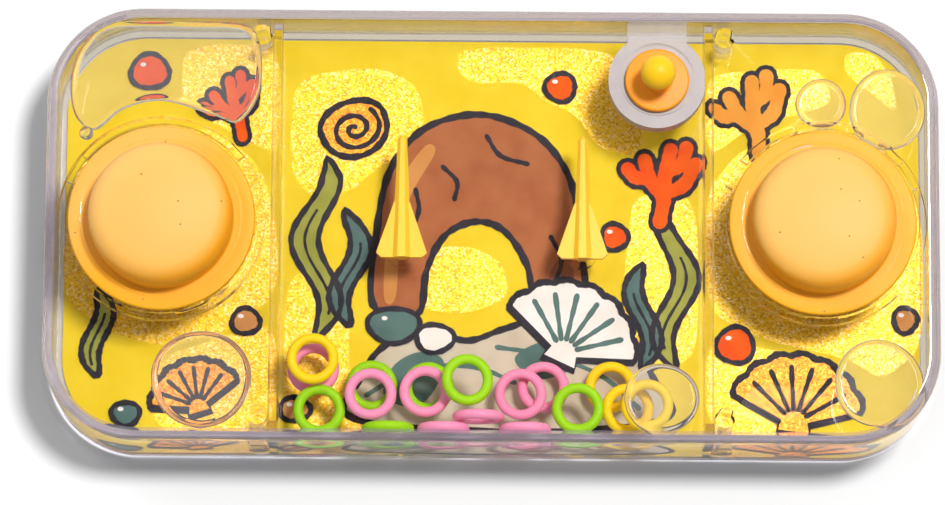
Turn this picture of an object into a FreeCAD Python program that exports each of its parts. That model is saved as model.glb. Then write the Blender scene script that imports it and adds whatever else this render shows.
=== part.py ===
import FreeCAD, Part
import math
import os

os.makedirs("parts", exist_ok=True)
V = FreeCAD.Vector

# Handheld water game, lying on its back. X runs along its length, +Y towards its top, +Z out of
# the window towards the player. The origin is the middle of the rest face at the back. Lengths are
# in millimetres.

# Case, seen from the front
case_length = 150.0
case_height = 74.0
case_thickness = 18.0
case_corner_r = 16.0
wall = 1.8
window_t = 1.8
front_edge_r = 2.0
edge_round_flats = 3

# Rear shell, its recess for the printed card and the tongue that lines up the two shells
rear_side_height = 4.3
rear_plate_t = 1.8
rear_bevel = 0.8
rest_rim = 2.4
card_recess_depth = 0.8
card_t = 0.35
card_edge_gap = 0.2
tongue_t = 0.8
tongue_reach = 1.9
seam_gap = 0.05

# Partitions between the pump chambers and the play tank
partition_t = 1.5
partition_collar_gap = 0.85
jet_port_height = 2.4
jet_port_depth = 5.0
jet_port_setback = 2.2
return_gap_height = 3.0
return_gap_depth = 4.0

# Locating posts beside the partitions: a tube on the front shell over a pin on the rear shell
post_d = 3.5
post_bore_d = 2.2
post_wall_gap = 1.0
post_pin_reach = 4.0
post_bore_spare = 0.6

# Sides of the small round studs: posts, pins and sockets
stud_sides = 14

# Soft buttons, each one moulding whose crown travels while its neck folds
button_y = 0.8
button_d = 24.1
button_proud = 6.0
button_edge_r = 3.2
button_crown_rise = 0.7
button_edge_flats = 2
button_top_share = 0.35
button_skin_t = 1.5
button_flange_reach = 3.7
button_flange_t = 1.4
button_sides = 48
window_hole_gap = 1.25
window_hole_bevel = 0.3

# Collar under the window and the clamp ring that holds the button's flange in it
collar_flange_gap = 0.45
collar_wall = 1.2
collar_depth = 3.4
collar_side_gap = 0.4
clamp_neck_gap = 0.95
clamp_t = 1.6
clamp_tab_width = 5.0
clamp_tab_reach = 1.1
clamp_tab_count = 3
clamp_tab_turn = 30.0

# Filler: cloudy pad with its neck to the top wall, and the plug that is pulled out to fill the case
filler_pad_d = 16.4
filler_side_cut = 0.15
filler_top_gap = 2.0
filler_pad_t = 4.0
filler_neck_width = 10.0
filler_window_d = 12.4
filler_bore_d = 6.4
plug_gap = 0.08
plug_flange_d = 10.8
plug_flange_t = 1.2
plug_stem_reach = 1.4
plug_stem_chamfer = 0.6
plug_neck_d = 4.4
plug_knob_d = 5.9
plug_knob_height = 5.2
plug_knob_flats = 4
plug_sides = 24

# Pegs: an eight-sided spike with a flat skirt, a web behind it and a pin in a socket of the rear shell
peg_x = 15.2
peg_tip_y = 16.2
peg_length = 21.0
peg_axis_height = 7.5
spike_sides = 8
spike_tip_r = 0.5
spike_tip_taper = 0.6
spike_shoulder_r = 0.85
spike_root_r = 1.35
skirt_length = 9.4
skirt_width = 8.5
skirt_t = 1.4
skirt_corner_r = 0.8
spine_foot_r = 1.7
web_t = 1.5
web_height = 6.0
peg_pin_d = 2.8
peg_pin_rise = 1.8
socket_d = 5.2
socket_height = 2.4
socket_gap = 0.05

# Rings: outer size, thickness of the round section and the gaps that they lie at
ring_d = 8.7
ring_section_d = 1.7
ring_rest_gap = 0.3
ring_layer_gap = 0.4
ring_window_gap = 0.45
ring_sides = 16
ring_section_sides = 6

# Facing rings: place along the tank, lift off its floor in rings, layer from the back and turn in
# degrees
facing_ring_shares = {
    "ring_yellow_1": (-0.839, 0.965, 3, 0),
    "ring_yellow_2": (0.567, 0.554, 0, 0),
    "ring_yellow_3": (0.643, 0.06, 2, 0),
    "ring_yellow_4": (0.731, 0.065, 4, 0),
    "ring_green_1": (-0.806, 0.0, 2, 0),
    "ring_green_2": (-0.562, 0.508, 1, 0),
    "ring_green_3": (-0.295, 0.485, 1, 0),
    "ring_green_4": (-0.111, 0.515, 4.8, 12),
    "ring_green_5": (0.408, 0.03, 3, 0),
    "ring_pink_1": (-0.837, 0.833, 1, 0),
    "ring_pink_2": (-0.565, 0.285, 3, 0),
    "ring_pink_3": (-0.308, 0.341, 3, 0),
    "ring_pink_4": (0.14, 0.37, 1, 0),
    "ring_pink_5": (0.247, 0.543, 0, 0),
}

# Rings that lie on the tank's floor: place along the tank and place in the stack
lying_ring_shares = {
    "ring_green_6": (-0.48, 0),
    "ring_pink_6": (-0.222, 0),
    "ring_pink_7": (-0.059, 1),
    "ring_pink_8": (0.161, 0),
}

# Places that follow from the sizes
cut_overrun = 1.0
same_place = 1e-6
front_z = case_thickness
window_back_z = front_z - window_t
card_face_z = card_recess_depth
tank_back_z = card_face_z + rear_plate_t
flange_r = button_d / 2 + button_flange_reach
collar_bore_r = flange_r + collar_flange_gap
collar_r = collar_bore_r + collar_wall
button_x = case_length / 2 - wall - collar_side_gap - collar_r
partition_x = button_x - collar_r - partition_collar_gap - partition_t / 2
tank_half_height = case_height / 2 - wall
tank_half_length = partition_x - partition_t / 2
filler_x = tank_half_length - filler_pad_d / 2 + filler_side_cut
filler_y = tank_half_height - filler_pad_d / 2 - filler_top_gap
flange_back_z = window_back_z - button_flange_t
crown_top_z = front_z + button_proud
crown_seat_z = crown_top_z - button_crown_rise - button_edge_r
peg_axis_z = tank_back_z + peg_axis_height
skirt_bottom_y = peg_tip_y - peg_length
skirt_top_y = skirt_bottom_y + skirt_length
peg_pin_y = skirt_bottom_y + peg_pin_rise
filler_pad_back_z = window_back_z - filler_pad_t
partition_outer_x = partition_x + partition_t / 2
post_x = partition_outer_x + post_d / 2 + seam_gap
post_y = tank_half_height - post_wall_gap - post_d / 2
out_of_window = V(0, 0, 1)
up_the_toy = V(0, 1, 0)
along_the_toy = V(1, 0, 0)


def save(name, shape):
    shape.exportStep("parts/" + name + ".step")
    print(name, len(shape.Solids), round(shape.Volume, 1), shape.isValid())


def box(x_low, x_high, y_low, y_high, z_low, z_high):
    """A block between two corners."""
    return Part.makeBox(x_high - x_low, y_high - y_low, z_high - z_low, V(x_low, y_low, z_low))


def disc(radius, x, y, z_low, z_high):
    """A round block standing along Z."""
    return Part.makeCylinder(radius, z_high - z_low, V(x, y, z_low), out_of_window)


def even_sided(radius, sides, x, y, z):
    """Closed outline of even sides about the upright axis at x, y, at one height."""
    corners = []
    for step in range(sides):
        angle = 2 * math.pi * step / sides
        corners.append(V(x + radius * math.cos(angle), y + radius * math.sin(angle), z))
    return Part.makePolygon(corners + corners[:1])


def prism(radius, sides, x, y, z_low, z_high):
    """A round block of even sides standing along Z."""
    return Part.Face(even_sided(radius, sides, x, y, z_low)).extrude(V(0, 0, z_high - z_low))


def stud(radius, x, y, z_low, z_high):
    """A small round block standing along Z."""
    return prism(radius, stud_sides, x, y, z_low, z_high)


def rounded_outline(inset, z):
    """The case's rounded outline, moved in by inset, at one height."""
    half_length = case_length / 2 - inset
    half_height = case_height / 2 - inset
    corner_r = case_corner_r - inset
    straight_x = half_length - corner_r
    straight_y = half_height - corner_r
    diagonal = corner_r * math.sqrt(0.5)
    arcs = []
    for side_x, side_y in ((1, 1), (-1, 1), (-1, -1), (1, -1)):
        points = [
            V(side_x * half_length, side_y * straight_y, z),
            V(side_x * (straight_x + diagonal), side_y * (straight_y + diagonal), z),
            V(side_x * straight_x, side_y * half_height, z),
        ]
        if side_x != side_y:
            points.reverse()
        arcs.append(points)
    edges = []
    for points, following in zip(arcs, arcs[1:] + arcs[:1]):
        edges.append(Part.Arc(*points).toShape())
        edges.append(Part.LineSegment(points[2], following[0]).toShape())
    return Part.Wire(edges)


def rounded_block(inset, z_low, z_high):
    """The case's rounded outline, moved in by inset and raised between two heights."""
    return Part.Face(rounded_outline(inset, z_low)).extrude(V(0, 0, z_high - z_low))


def rounded_stack(levels):
    """A block through several rounded outlines, each given by its inset and height."""
    return Part.makeLoft([rounded_outline(inset, z) for inset, z in levels], True, True)


def edge_round(radius, flats, z_edge):
    """Insets and heights that take a rounded front edge in flats, from the side wall to the face."""
    levels = []
    for step in range(flats + 1):
        angle = math.pi / 2 * step / flats
        levels.append((radius * (1 - math.cos(angle)), z_edge - radius * (1 - math.sin(angle))))
    return levels


def turned(outline, sides, x, y):
    """The outline through points of the XZ plane, carried round the upright axis at x, y."""
    faces = []
    for step in range(sides):
        turn = FreeCAD.Rotation(out_of_window, 360 * step / sides)
        next_turn = FreeCAD.Rotation(out_of_window, 360 * (step + 1) / sides)
        for start, end in zip(outline, outline[1:] + outline[:1]):
            loop = [
                turn.multVec(start),
                next_turn.multVec(start),
                next_turn.multVec(end),
                turn.multVec(end),
            ]
            corners = []
            for corner, before in zip(loop, loop[-1:] + loop):
                if not corner.isEqual(before, same_place):
                    corners.append(corner)
            if len(corners) > 2:
                faces.append(Part.Face(Part.makePolygon(corners + corners[:1])))
    shape = Part.makeSolid(Part.makeShell(faces))
    shape.translate(V(x, y, 0))
    return shape


def front_shell():
    """Window, side wall, button collars and the tubes of the locating posts."""
    shell = rounded_stack([(0, rear_side_height)] + edge_round(front_edge_r, edge_round_flats, front_z))
    shell = shell.cut(rounded_block(wall, rear_side_height - cut_overrun, window_back_z))
    rebate_inset = wall - tongue_t - seam_gap
    rebate_top = rear_side_height + tongue_reach + seam_gap
    shell = shell.cut(rounded_block(rebate_inset, rear_side_height - cut_overrun, rebate_top))
    for side in (-1, 1):
        x = side * button_x
        shell = shell.fuse(button_collar(x)).cut(window_hole(x))
        for end in (-1, 1):
            shell = shell.fuse(post_tube(side * post_x, end * post_y))
    hole_low = window_back_z - cut_overrun
    hole_high = front_z + cut_overrun
    filler_hole = disc(filler_window_d / 2, filler_x, filler_y, hole_low, hole_high)
    return shell.cut(filler_hole).removeSplitter()


def post_tube(x, y):
    """Tube from the window down to the rear plate, over a locating pin."""
    tube = stud(post_d / 2, x, y, tank_back_z + seam_gap, window_back_z)
    bore_top = tank_back_z + post_pin_reach + post_bore_spare
    return tube.cut(stud(post_bore_d / 2, x, y, tank_back_z - cut_overrun, bore_top))


def button_collar(x):
    """Tube under the window round a button, slotted for the tabs of the clamp ring."""
    low_z = window_back_z - collar_depth
    collar = disc(collar_r, x, button_y, low_z, window_back_z)
    collar = collar.cut(disc(collar_bore_r, x, button_y, low_z - cut_overrun, window_back_z))
    slots = clamp_tabs(x, clamp_tab_width / 2 + seam_gap, collar_r + cut_overrun)
    slots = slots.extrude(V(0, 0, -collar_depth - cut_overrun))
    slots.translate(V(0, 0, flange_back_z))
    return collar.cut(slots)


def window_hole(x):
    """Hole in the window that a button stands in, with its front edge bevelled."""
    hole_r = button_d / 2 + window_hole_gap
    wide_r = hole_r + window_hole_bevel + cut_overrun
    bevel_z = front_z - window_hole_bevel
    hole = disc(hole_r, x, button_y, window_back_z - cut_overrun, front_z + cut_overrun)
    bevel_start = V(x, button_y, bevel_z)
    bevel_height = window_hole_bevel + cut_overrun
    return hole.fuse(Part.makeCone(hole_r, wide_r, bevel_height, bevel_start, out_of_window))


def clamp_tabs(x, half_width, reach):
    """Flat tab shapes round a button, from its axis out to a reach, one every third of a turn."""
    tabs = None
    for number in range(clamp_tab_count):
        tab = Part.makePlane(reach, 2 * half_width, V(0, -half_width, 0))
        tab.rotate(V(0, 0, 0), out_of_window, clamp_tab_turn + number * 360 / clamp_tab_count)
        tab.translate(V(x, button_y, 0))
        tabs = tab if tabs is None else tabs.fuse(tab)
    return tabs


def rear_shell():
    """Clear back plate with its rest rim, tongue, partitions, peg sockets and locating pins."""
    base = rounded_stack([(rear_bevel, 0), (0, rear_bevel), (0, rear_side_height)])
    shell = base.cut(rounded_block(wall, tank_back_z, rear_side_height + cut_overrun))
    shell = shell.cut(rounded_block(rest_rim, -cut_overrun, card_face_z))
    tongue = rounded_block(wall - tongue_t, tank_back_z, rear_side_height + tongue_reach)
    tongue_room_z = rear_side_height + tongue_reach + cut_overrun
    tongue = tongue.cut(rounded_block(wall, tank_back_z - cut_overrun, tongue_room_z))
    shell = shell.fuse(tongue)
    for side in (-1, 1):
        shell = shell.fuse(partition(side))
        for end in (-1, 1):
            pin_r = post_bore_d / 2 - seam_gap
            pin_top = tank_back_z + post_pin_reach
            shell = shell.fuse(stud(pin_r, side * post_x, end * post_y, card_face_z, pin_top))
        socket = stud(socket_d / 2, side * peg_x, peg_pin_y, card_face_z, tank_back_z + socket_height)
        bore_top = tank_back_z + socket_height + cut_overrun
        bore = stud(peg_pin_d / 2 + socket_gap, side * peg_x, peg_pin_y, tank_back_z, bore_top)
        shell = shell.fuse(socket).cut(bore)
    return shell.removeSplitter()


def partition(side):
    """Wall between a pump chamber and the tank, with a jet port low down and a return gap at the top."""
    x_low = side * partition_x - partition_t / 2
    x_high = side * partition_x + partition_t / 2
    wall_end = tank_half_height - seam_gap
    panel = box(x_low, x_high, -wall_end, wall_end, card_face_z, window_back_z)
    cut_low = x_low - cut_overrun
    cut_high = x_high + cut_overrun
    floor_y = -tank_half_height
    ceiling_y = tank_half_height
    port_z = tank_back_z + jet_port_setback
    port_top_y = floor_y + jet_port_height
    port = box(cut_low, cut_high, floor_y - cut_overrun, port_top_y, port_z, port_z + jet_port_depth)
    gap_low_y = ceiling_y - return_gap_height
    gap_z = window_back_z - return_gap_depth
    gap_high_z = window_back_z + cut_overrun
    gap = box(cut_low, cut_high, gap_low_y, ceiling_y + cut_overrun, gap_z, gap_high_z)
    return panel.cut(port).cut(gap)


def backing_card():
    """Printed card in the recess of the rear shell."""
    return rounded_block(rest_rim + card_edge_gap, card_face_z - card_t, card_face_z)


def clamp_ring(side):
    """Ring under the button's flange, with tabs that stand in the slots of the collar."""
    x = side * button_x
    ring_r = collar_bore_r - seam_gap
    ring = disc(ring_r, x, button_y, flange_back_z - clamp_t, flange_back_z)
    tabs = clamp_tabs(x, clamp_tab_width / 2 - seam_gap, ring_r + clamp_tab_reach)
    tabs = tabs.extrude(V(0, 0, -clamp_t))
    tabs.translate(V(0, 0, flange_back_z))
    bore_r = button_d / 2 + clamp_neck_gap
    bore_low = flange_back_z - clamp_t - cut_overrun
    bore = prism(bore_r, button_sides, x, button_y, bore_low, flange_back_z + cut_overrun)
    return ring.fuse(tabs).cut(bore).removeSplitter()


def button_crown(side):
    """Domed top of a soft button: the part under the thumb."""
    outer_r = button_d / 2
    inner_r = outer_r - button_skin_t
    flat_r = outer_r - button_edge_r
    ceiling_z = crown_top_z - button_crown_rise - button_skin_t
    outline = [V(0, 0, ceiling_z), V(inner_r, 0, ceiling_z), V(inner_r, 0, crown_seat_z)]
    for inset, z in edge_round(button_edge_r, button_edge_flats, crown_top_z - button_crown_rise):
        outline.append(V(outer_r - inset, 0, z))
    outline.append(V(flat_r * button_top_share, 0, crown_top_z))
    outline.append(V(0, 0, crown_top_z))
    return turned(outline, button_sides, side * button_x, button_y)


def button_neck(side):
    """Folding wall of a soft button with the flange that the clamp ring holds."""
    outer_r = button_d / 2
    inner_r = outer_r - button_skin_t
    outline = [
        V(inner_r, 0, flange_back_z),
        V(flange_r, 0, flange_back_z),
        V(flange_r, 0, window_back_z),
        V(outer_r, 0, window_back_z),
        V(outer_r, 0, crown_seat_z),
        V(inner_r, 0, crown_seat_z),
    ]
    return turned(outline, button_sides, side * button_x, button_y)


def filler_neck():
    """Cloudy pad behind the window with its neck up to the top wall, cut flat beside the partition."""
    pad = disc(filler_pad_d / 2, filler_x, filler_y, filler_pad_back_z, window_back_z)
    neck = box(filler_x - filler_neck_width / 2, filler_x + filler_neck_width / 2, filler_y,
               tank_half_height - seam_gap, filler_pad_back_z, window_back_z)
    room = box(-tank_half_length, tank_half_length - seam_gap, 0, tank_half_height - seam_gap,
               filler_pad_back_z, window_back_z)
    bore_low = filler_pad_back_z - cut_overrun
    bore = disc(filler_bore_d / 2, filler_x, filler_y, bore_low, window_back_z + cut_overrun)
    return pad.fuse(neck).common(room).cut(bore).removeSplitter()


def filler_plug():
    """Soft plug: stem, flange and a ball to pull it by."""
    stem_r = filler_bore_d / 2 - plug_gap
    stem_end_z = filler_pad_back_z - plug_stem_reach
    plug_flange_r = plug_flange_d / 2
    plug_flange_z = window_back_z + plug_flange_t
    neck_r = plug_neck_d / 2
    knob_r = plug_knob_d / 2
    knob_z = plug_flange_z + plug_knob_height
    outline = [
        V(0, 0, stem_end_z),
        V(stem_r - plug_stem_chamfer, 0, stem_end_z),
        V(stem_r, 0, stem_end_z + plug_stem_chamfer),
        V(stem_r, 0, window_back_z),
        V(plug_flange_r, 0, window_back_z),
        V(plug_flange_r, 0, plug_flange_z),
        V(neck_r, 0, plug_flange_z),
    ]
    neck_angle = -math.acos(neck_r / knob_r)
    for step in range(plug_knob_flats + 1):
        angle = neck_angle + (math.pi / 2 - neck_angle) * step / plug_knob_flats
        outline.append(V(knob_r * math.cos(angle), 0, knob_z + knob_r * math.sin(angle)))
    return turned(outline, plug_sides, filler_x, filler_y)


def spike_section(radius, y):
    """Even-sided section of a spike across Y, with a flat towards the window."""
    corners = []
    for step in range(spike_sides):
        angle = 2 * math.pi * (step + 0.5) / spike_sides
        corners.append(V(radius * math.cos(angle), y, radius * math.sin(angle)))
    return Part.makePolygon(corners + corners[:1])


def peg(side):
    """Peg that a ring is caught on: spike, flat skirt, web to the back and pin."""
    sections = [
        spike_section(spine_foot_r, skirt_bottom_y),
        spike_section(spike_root_r, skirt_top_y),
        spike_section(spike_shoulder_r, peg_tip_y - spike_tip_taper),
        spike_section(spike_tip_r, peg_tip_y),
    ]
    spine = Part.makeLoft(sections, True, True)
    half_width = skirt_width / 2
    corner_x = half_width - skirt_corner_r
    corner_y = skirt_bottom_y + skirt_corner_r
    corners = [
        V(-corner_x, skirt_bottom_y, -skirt_t / 2),
        V(corner_x, skirt_bottom_y, -skirt_t / 2),
        V(half_width, corner_y, -skirt_t / 2),
        V(spike_root_r, skirt_top_y, -skirt_t / 2),
        V(-spike_root_r, skirt_top_y, -skirt_t / 2),
        V(-half_width, corner_y, -skirt_t / 2),
    ]
    skirt = Part.Face(Part.makePolygon(corners + corners[:1])).extrude(V(0, 0, skirt_t))
    socket_top = tank_back_z + socket_height - peg_axis_z
    web_low_y = peg_pin_y - peg_pin_d / 2
    web_corners = [
        V(-web_t / 2, web_low_y, 0),
        V(-web_t / 2, web_low_y + web_height, 0),
        V(-web_t / 2, peg_pin_y + peg_pin_d / 2, socket_top),
        V(-web_t / 2, web_low_y, socket_top),
    ]
    web = Part.Face(Part.makePolygon(web_corners + web_corners[:1])).extrude(V(web_t, 0, 0))
    pin = stud(peg_pin_d / 2, 0, peg_pin_y, socket_top - socket_height + socket_gap, 0)
    shape = spine.fuse(skirt).fuse(web).fuse(pin).removeSplitter()
    shape.translate(V(side * peg_x, 0, peg_axis_z))
    return shape


def ring(x, y, z, turn, lean):
    """Soft ring of many flats about its own axis, turned about Y and then leant about X, in degrees."""
    middle_r = (ring_d - ring_section_d) / 2
    section_r = ring_section_d / 2
    points = []
    for step in range(ring_sides):
        around = 2 * math.pi * step / ring_sides
        row = []
        for corner in range(ring_section_sides):
            angle = 2 * math.pi * corner / ring_section_sides
            reach = middle_r + section_r * math.cos(angle)
            row.append(V(reach * math.cos(around), reach * math.sin(around), section_r * math.sin(angle)))
        points.append(row)
    faces = []
    for step in range(ring_sides):
        row = points[step]
        next_row = points[(step + 1) % ring_sides]
        for corner in range(ring_section_sides):
            after = (corner + 1) % ring_section_sides
            loop = [row[corner], next_row[corner], next_row[after], row[after], row[corner]]
            faces.append(Part.Face(Part.makePolygon(loop)))
    shape = Part.makeSolid(Part.makeShell(faces))
    shape.rotate(V(0, 0, 0), up_the_toy, turn)
    shape.rotate(V(0, 0, 0), along_the_toy, lean)
    shape.translate(V(x, y, z))
    return shape


def rings():
    """The rings as they lie in the tank."""
    placed = {}
    tank_floor_y = -tank_half_height
    layer_step = ring_section_d + ring_layer_gap
    for name, (along_share, lift_share, layer_share, turn) in facing_ring_shares.items():
        x = along_share * tank_half_length
        y = tank_floor_y + ring_rest_gap + ring_d / 2 + lift_share * ring_d
        z = tank_back_z + ring_rest_gap + ring_section_d / 2 + layer_share * layer_step
        placed[name] = ring(x, y, z, turn, 0)
    for name, (along_share, stack_share) in lying_ring_shares.items():
        x = along_share * tank_half_length
        y = tank_floor_y + ring_rest_gap + ring_section_d / 2 + stack_share * layer_step
        z = window_back_z - ring_window_gap - ring_d / 2
        placed[name] = ring(x, y, z, 0, 90)
    return placed


save("front_shell", front_shell())
save("rear_shell", rear_shell())
save("backing_card", backing_card())
save("filler_neck", filler_neck())
save("filler_plug", filler_plug())
for side, name in ((-1, "left"), (1, "right")):
    save(name + "_button_crown", button_crown(side))
    save(name + "_button_neck", button_neck(side))
    save(name + "_clamp_ring", clamp_ring(side))
    save(name + "_peg", peg(side))
for name, shape in rings().items():
    save(name, shape)
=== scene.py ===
import math

import bmesh
import bpy
import numpy as np
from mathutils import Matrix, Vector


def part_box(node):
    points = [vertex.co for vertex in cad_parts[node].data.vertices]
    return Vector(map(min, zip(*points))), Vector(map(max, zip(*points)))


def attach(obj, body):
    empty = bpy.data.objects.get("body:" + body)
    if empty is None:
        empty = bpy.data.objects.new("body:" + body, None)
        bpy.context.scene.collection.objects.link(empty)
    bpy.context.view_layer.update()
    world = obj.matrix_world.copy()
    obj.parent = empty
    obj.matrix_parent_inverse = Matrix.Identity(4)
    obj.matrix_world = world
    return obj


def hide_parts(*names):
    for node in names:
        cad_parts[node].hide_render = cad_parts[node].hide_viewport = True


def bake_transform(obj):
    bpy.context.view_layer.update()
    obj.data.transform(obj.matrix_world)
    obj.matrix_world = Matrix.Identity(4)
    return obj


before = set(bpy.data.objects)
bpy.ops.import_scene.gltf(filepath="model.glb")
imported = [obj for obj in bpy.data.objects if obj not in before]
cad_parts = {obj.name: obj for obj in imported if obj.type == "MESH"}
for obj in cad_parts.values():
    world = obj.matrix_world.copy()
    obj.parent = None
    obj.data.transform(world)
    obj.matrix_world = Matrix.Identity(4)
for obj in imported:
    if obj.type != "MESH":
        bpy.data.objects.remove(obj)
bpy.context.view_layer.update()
mm = 0.001
merge = 1e-7  # m, points closer than this become one
print("stage: frame loaded")


# helpers for meshes

def cleanMesh(name, points, faces, sharpAngle=40.0):
    # merges doubles, turns the faces outwards and shades them smooth up to an angle
    mesh = bpy.data.meshes.new(name)
    mesh.from_pydata(np.asarray(points).tolist(), [], [tuple(face) for face in faces])
    work = bmesh.new()
    work.from_mesh(mesh)
    bmesh.ops.remove_doubles(work, verts=work.verts, dist=merge)
    bmesh.ops.recalc_face_normals(work, faces=work.faces)
    work.to_mesh(mesh)
    work.free()
    mesh.shade_smooth()
    mesh.set_sharp_from_angle(angle=math.radians(sharpAngle))
    return mesh


def gridFaces(rows, columns, loopRows=False, loopColumns=False, first=0):
    # quads between neighbours of a grid, whose ends may join
    row = np.arange(rows if loopRows else rows - 1)
    column = np.arange(columns if loopColumns else columns - 1)
    a, b = np.meshgrid(row, column, indexing="ij")
    nextA, nextB = (a + 1) % rows * columns, (b + 1) % columns
    quads = np.stack([a * columns + b, nextA + b, nextA + nextB, a * columns + nextB], -1)
    return (quads.reshape(-1, 4) + first).tolist()


def valuesOf(items, label, width, kind=np.float64):
    # one row of values per vertex, face or corner of a mesh, read at once
    values = np.empty(len(items) * width, kind)
    items.foreach_get(label, values)
    return values.reshape(-1, width)


def addPiece(name, mesh, body, material, nodes=()):
    # a mesh as a named piece that rides on a body and stands for these CAD nodes
    piece = bpy.data.objects.new(name, mesh)
    bpy.context.scene.collection.objects.link(piece)
    mesh.materials.append(material)
    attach(piece, body)
    if nodes:
        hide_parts(*nodes)
    return piece


def turnedMesh(name, profile, centre, steps):
    # profile points (radius, z) turned once about an upright axis through centre
    radius, height = profile.T
    angle = np.linspace(0, 2 * np.pi, steps, endpoint=False)[:, None]
    x = centre[0] + radius * np.cos(angle)
    y = centre[1] + radius * np.sin(angle)
    grid = np.stack([x, y, np.broadcast_to(height, x.shape)], -1)
    return cleanMesh(name, grid.reshape(-1, 3), gridFaces(steps, len(radius), loopRows=True))


def pairs(radius, height):
    # profile points, whose radius or height may be one value for all
    return np.stack(np.broadcast_arrays(radius, height), -1)


def arcPoints(centre, radius, start, end, count):
    # points (radius, z) on a circle's arc between two angles in degrees
    angle = np.radians(np.linspace(start, end, count))
    return pairs(centre[0] + radius * np.cos(angle), centre[1] + radius * np.sin(angle))


def oval(middle, halves, steps, ripple=0.0, phase=0.0):
    # an ellipse whose reach swells and shrinks three times around, as a sine
    angle = np.linspace(0, 2 * np.pi, steps, endpoint=False)
    reach = 1 + ripple * np.sin(3 * angle + phase)
    return np.column_stack([middle[0] + halves[0] * reach * np.cos(angle),
                            middle[1] + halves[1] * reach * np.sin(angle)])


# helpers for materials

def paint(red, green, blue):
    # a screen colour of 0 to 255 as the linear colour that the nodes take, by the screen's curve
    share = np.array([red, green, blue]) / 255
    return (*np.where(share <= 0.04045, share / 12.92, ((share + 0.055) / 1.055) ** 2.4).tolist(), 1.0)


def feed(tree, node, values):
    # a number or colour stays on the input it is for, and another node's output is linked to it
    for label, value in values.items():
        if isinstance(value, bpy.types.NodeSocket):
            tree.links.new(value, node.inputs[label])
        else:
            node.inputs[label].default_value = value


def addNode(tree, kind, inputs=None, **settings):
    # the outputs of a new shader node with these settings and inputs
    node = tree.nodes.new("ShaderNode" + kind)
    for label, value in settings.items():
        setattr(node, label, value)
    feed(tree, node, inputs or {})
    return node.outputs


def compute(tree, operation, *values):
    # what a Math node makes of its values
    return addNode(tree, "Math", dict(enumerate(values)), operation=operation)[0]


def mixColours(tree, share, first, second):
    # the first colour where share is 0, the second where it is 1, and both in proportion between
    return addNode(tree, "Mix", {0: share, 6: first, 7: second}, data_type="RGBA")[2]


def ramp(tree, share, stops):
    # a colour that runs straight from one stop (place, colour) to the next as share goes from 0 to 1
    node = tree.nodes.new("ShaderNodeValToRGB")
    while len(node.color_ramp.elements) < len(stops):
        node.color_ramp.elements.new(0.5)
    for element, (place, colour) in zip(node.color_ramp.elements, stops):
        element.position = place
        element.color = colour
    feed(tree, node, {"Fac": share})
    return node.outputs["Color"]


def partOf(tree, vector, label):
    # one of a vector's X, Y and Z
    return addNode(tree, "SeparateXYZ", {"Vector": vector})[label]


def letThrough(tree, shader, share, colour=(1.0, 1.0, 1.0, 1.0)):
    # the shader where share is 0, and where it is 1 light straight on, times a colour
    passing = addNode(tree, "BsdfTransparent", {"Color": colour})
    surface = addNode(tree, "MixShader", {0: share, 1: shader.outputs[0], 2: passing[0]})
    feed(tree, tree.nodes["Material Output"], {"Surface": surface[0]})


def newMaterial(name):
    # a material with its node tree and its Principled shader
    material = bpy.data.materials.new(name)
    material.use_nodes = True
    return material, material.node_tree, material.node_tree.nodes["Principled BSDF"]


def newGroup(name, inputs, outputs):
    # a node group with named sockets (name, kind), the outputs of its start and its end
    group = bpy.data.node_groups.new(name, "ShaderNodeTree")
    for label, kind in inputs:
        group.interface.new_socket(label, in_out="INPUT", socket_type="NodeSocket" + kind)
    for label, kind in outputs:
        group.interface.new_socket(label, in_out="OUTPUT", socket_type="NodeSocket" + kind)
    return group, group.nodes.new("NodeGroupInput").outputs, group.nodes.new("NodeGroupOutput")


skinGrain = {"detail": 4.0, "mottleDetail": 2.0, "mottleScale": 0.12}  # mottles are eight times as wide as grains


def mouldedSkinGroup():
    # fine grain of moulded plastic or rubber: the roughness plus spread times a mottle's distance from its middle,
    # and a shallow bump of grains
    group, start, end = newGroup(
        "mouldedSkin", [("Scale", "Float"), ("Roughness", "Float"), ("Spread", "Float"), ("Depth", "Float")],
        [("Roughness", "Float"), ("Normal", "Vector"), ("Mottle", "Float")])
    place = addNode(group, "TexCoord")["Object"]
    wider = compute(group, "MULTIPLY", start["Scale"], skinGrain["mottleScale"])
    grain = addNode(group, "TexNoise", {"Vector": place, "Scale": start["Scale"], "Detail": skinGrain["detail"]})
    mottle = addNode(group, "TexNoise", {"Vector": place, "Scale": wider, "Detail": skinGrain["mottleDetail"]})
    spread = compute(group, "MULTIPLY", compute(group, "SUBTRACT", mottle["Fac"], 0.5), start["Spread"])
    bump = addNode(group, "Bump", {"Height": grain["Fac"], "Distance": start["Depth"]})
    feed(group, end, {"Roughness": compute(group, "ADD", spread, start["Roughness"]),
                      "Normal": bump["Normal"], "Mottle": mottle["Fac"]})
    return group


foilGrain = {"darkTo": 0.45, "brightFrom": 0.72, "tip": 0.00004}  # shares of chance, and metres


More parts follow.
